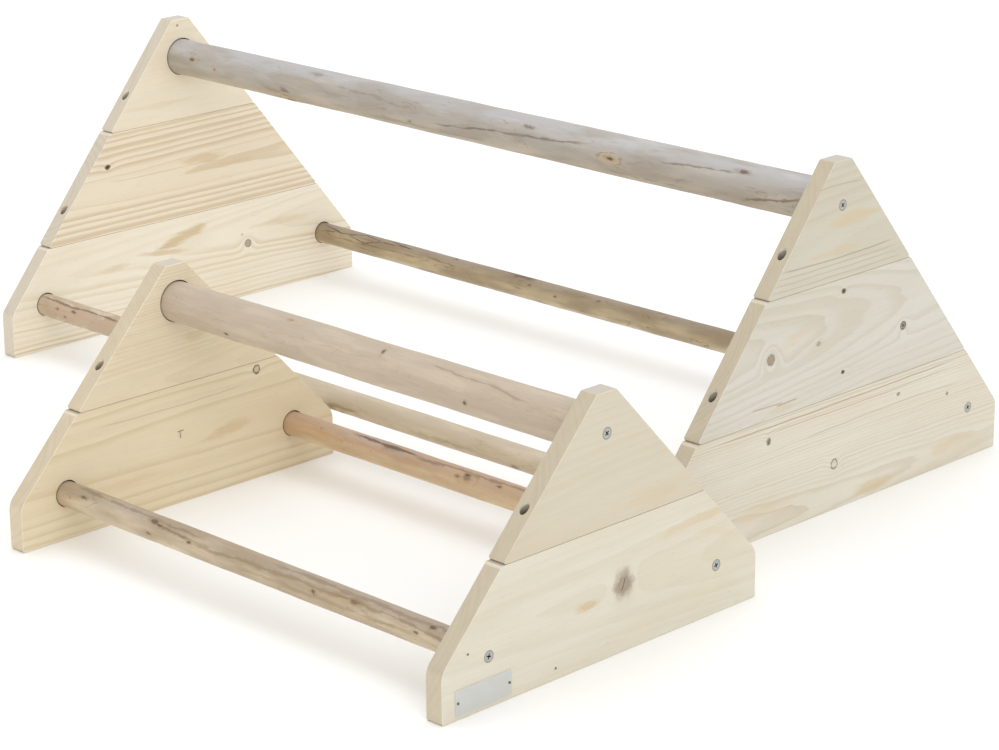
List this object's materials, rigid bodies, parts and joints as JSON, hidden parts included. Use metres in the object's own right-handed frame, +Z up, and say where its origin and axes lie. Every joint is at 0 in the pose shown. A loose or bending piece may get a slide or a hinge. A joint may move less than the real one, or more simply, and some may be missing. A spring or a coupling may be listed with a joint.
{
  "type": "climbing stand set",
  "caption": "Wooden balance and climbing stands, a large and a small one, each with two A-shaped board panels joined by a thick top rung and two thin low rungs.",
  "frame": {"origin": "on the floor, under the centre of the bounding box of both stands together", "axes": "+X along the rungs, towards the panels with the label plate; +Y from the small stand towards the large one behind it; +Z up"},
  "size_m": [1.1194, 0.905, 0.36],
  "materials": {
    "softwood_board": "planed pale spruce or pine, untreated, matt",
    "debarked_round_wood": "debarked and smoothed round wood, greyish tan with darker streaks",
    "zinc_screw": "bright zinc-plated steel",
    "plate_metal": "brushed aluminium, blank"
  },
  "bodies": {
    "large_stand": {"large_left_lower_board": "softwood_board", "large_left_middle_board": "softwood_board", "large_left_upper_board": "softwood_board", "large_right_lower_board": "softwood_board", "large_right_middle_board": "softwood_board", "large_right_upper_board": "softwood_board", "large_top_rung": "debarked_round_wood", "large_front_rung": "debarked_round_wood", "large_rear_rung": "debarked_round_wood", "large_left_rung_screws": "zinc_screw", "large_left_joining_screws": "zinc_screw", "large_right_rung_screws": "zinc_screw", "large_right_joining_screws": "zinc_screw"},
    "small_stand": {"small_left_lower_board": "softwood_board", "small_left_upper_board": "softwood_board", "small_right_lower_board": "softwood_board", "small_right_upper_board": "softwood_board", "small_top_rung": "debarked_round_wood", "small_front_rung": "debarked_round_wood", "small_rear_rung": "debarked_round_wood", "small_left_rung_screws": "zinc_screw", "small_left_joining_screws": "zinc_screw", "small_right_rung_screws": "zinc_screw", "small_right_joining_screws": "zinc_screw", "label_plate": "plate_metal", "label_plate_nails": "zinc_screw"}
  },
  "joints": [
    {"name": "small_stand_pull_away", "type": "slide", "parent": "large_stand", "child": "small_stand", "axis": [0, -1, 0], "range_m": [0, 0.4]}
  ]
}
